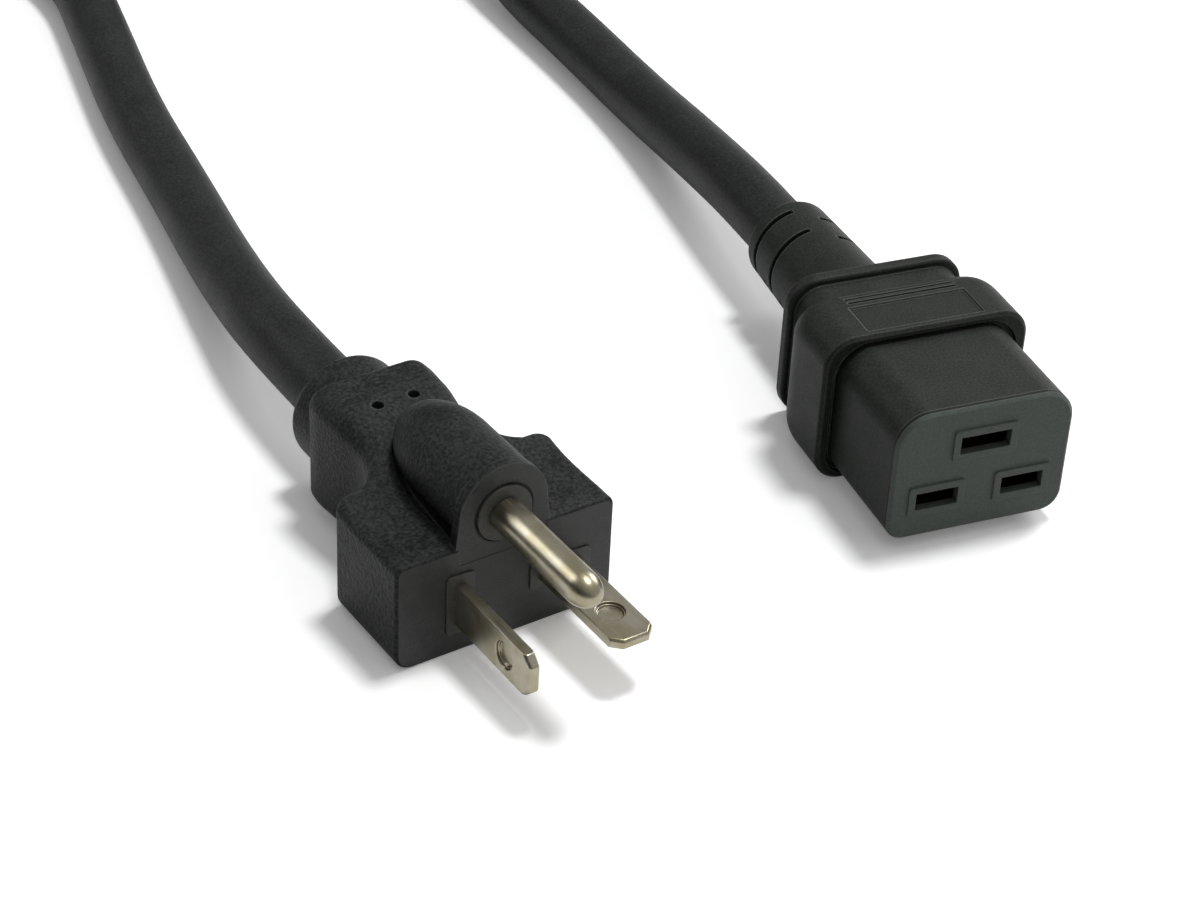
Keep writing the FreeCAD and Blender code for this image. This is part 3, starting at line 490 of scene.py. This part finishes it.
# sizes and places in metres, softbox powers in watts
studio = {
    "floorSize": 12.0, "floorTone": "#fbfbfb", "bounceTone": "#b0b0b0",
    "floorWhite": 0.14, "floorRoughness": 0.9,
    "skyBright": "#ffffff", "skyDark": "#3c3d3f", "skyDarkAt": 0.0, "skyBrightAt": 0.8,
    "skyStrength": 0.62, "skyToward": (0.45, -0.2, 0.87),
    "sun": {"strength": 1.9, "angle": 12.0, "from": (0.27, 0.05, 0.96)},
    "softboxes": {
        "softboxRight": {"size": 0.2, "power": 0.95, "at": (0.43, 0.12, 0.26), "aim": (0.1, 0.12, 0.0),
                         "glossOnly": False},
        "softboxBack": {"size": 0.52, "power": 3.0, "at": (-0.39, 0.66, 0.6), "aim": (0.02, 0.05, 0.0),
                        "glossOnly": True},
    },
}


def buildFloor(facts):
    half = facts["floorSize"] / 2
    mesh = bpy.data.meshes.new("floor")
    corners = [(-half, -half, 0), (half, -half, 0), (half, half, 0), (-half, half, 0)]
    mesh.from_pydata(corners, [], [(0, 1, 2, 3)])
    floor = bpy.data.objects.new("floor", mesh)
    bpy.context.scene.collection.objects.link(floor)
    material, tree, shader = newMaterial("pale paper sweep", {
        "Roughness": facts["floorRoughness"], "Specular IOR Level": 0.0,
        "Emission Color": (1.0, 1.0, 1.0, 1.0),
    })
    path = addNode(tree, "ShaderNodeLightPath")
    # a duller tone for what the paper throws back on the object's sides
    tone = addNode(tree, "ShaderNodeMixRGB", sockets={
        "Color1": linear(facts["floorTone"]), "Color2": linear(facts["bounceTone"]),
    }, links={"Fac": (path, "Is Diffuse Ray")})
    tree.links.new(tone.outputs["Color"], shader.inputs["Base Color"])
    # the paper is lifted to white for the eye, in gloss and through glass, but lights nothing more
    seen = addNode(tree, "ShaderNodeMath", settings={"operation": "MAXIMUM"}, links={
        0: (path, "Is Camera Ray"), 1: (path, "Is Glossy Ray"),
    })
    seenOrThrough = addNode(tree, "ShaderNodeMath", settings={"operation": "MAXIMUM"}, links={
        0: (seen, "Value"), 1: (path, "Is Transmission Ray"),
    })
    lift = addNode(tree, "ShaderNodeMath", settings={"operation": "MULTIPLY"},
                   links={0: (seenOrThrough, "Value")})
    lift.inputs[1].default_value = facts["floorWhite"]
    tree.links.new(lift.outputs["Value"], shader.inputs["Emission Strength"])
    setMaterial(floor, material)


def buildLights(facts):
    world = bpy.data.worlds.new("studio")
    bpy.context.scene.world = world
    world.use_nodes = True
    tree = world.node_tree
    tree.nodes.clear()
    place = addNode(tree, "ShaderNodeTexCoord")
    # brightness follows how far a direction leans towards the bright side of the studio
    lean = addNode(tree, "ShaderNodeVectorMath", settings={"operation": "DOT_PRODUCT"}, links={
        0: (place, "Generated"),
    })
    lean.inputs[1].default_value = Vector(facts["skyToward"]).normalized()
    tone = addNode(tree, "ShaderNodeValToRGB", links={"Fac": (lean, "Value")})
    tone.color_ramp.elements[0].position = facts["skyDarkAt"]
    tone.color_ramp.elements[0].color = linear(facts["skyDark"])
    tone.color_ramp.elements[1].position = facts["skyBrightAt"]
    tone.color_ramp.elements[1].color = linear(facts["skyBright"])
    sky = addNode(tree, "ShaderNodeBackground", sockets={"Strength": facts["skyStrength"]},
                  links={"Color": (tone, "Color")})
    addNode(tree, "ShaderNodeOutputWorld", links={"Surface": (sky, "Background")})

    sunLight = bpy.data.lights.new("sun", "SUN")
    sunLight.energy = facts["sun"]["strength"]
    sunLight.angle = math.radians(facts["sun"]["angle"])
    sun = bpy.data.objects.new("sun", sunLight)
    sun.rotation_euler = Vector(facts["sun"]["from"]).to_track_quat("Z", "Y").to_euler()
    bpy.context.scene.collection.objects.link(sun)

    for boxName, box in facts["softboxes"].items():
        boxLight = bpy.data.lights.new(boxName, "AREA")
        boxLight.shape = "SQUARE"
        boxLight.size = box["size"]
        boxLight.energy = box["power"]
        softbox = bpy.data.objects.new(boxName, boxLight)
        softbox.visible_diffuse = not box["glossOnly"]  # a gloss-only box draws its highlight and no more
        away = Vector(box["at"]) - Vector(box["aim"])
        softbox.location = box["at"]
        softbox.rotation_euler = away.to_track_quat("Z", "Y").to_euler()
        bpy.context.scene.collection.objects.link(softbox)


cameraFacts = {"azimuth": -35.0, "elevation": 34.5, "roll": 3.0, "distance": 400.0,
               "target": (34.53, 29.08, 0.0), "lens": 84.0, "sensor": 36.0, "clipStart": 10.0}


# the camera looks at the target from an azimuth and elevation, then rolls about its own axis
def buildCamera(facts):
    az = math.radians(facts["azimuth"])
    el = math.radians(facts["elevation"])
    roll = math.radians(facts["roll"])
    back = Vector((math.sin(az) * math.cos(el), -math.cos(az) * math.cos(el), math.sin(el)))
    right = Vector((math.cos(az), math.sin(az), 0.0))
    up = back.cross(right)
    rolledRight = right * math.cos(roll) + up * math.sin(roll)
    rolledUp = up * math.cos(roll) - right * math.sin(roll)
    cameraData = bpy.data.cameras.new("camera")
    cameraData.lens = facts["lens"]
    cameraData.sensor_width = facts["sensor"]
    cameraData.clip_start = facts["clipStart"] * mm
    camera = bpy.data.objects.new("camera", cameraData)
    axes = Matrix((rolledRight, rolledUp, back)).transposed().to_4x4()
    spot = Vector(facts["target"]) * mm + back * facts["distance"] * mm
    camera.matrix_world = Matrix.Translation(spot) @ axes
    bpy.context.scene.collection.objects.link(camera)
    bpy.context.scene.camera = camera


buildFloor(studio)
buildLights(studio)
buildCamera(cameraFacts)
bpy.context.scene.view_settings.view_transform = "Standard"
print("studio ready")
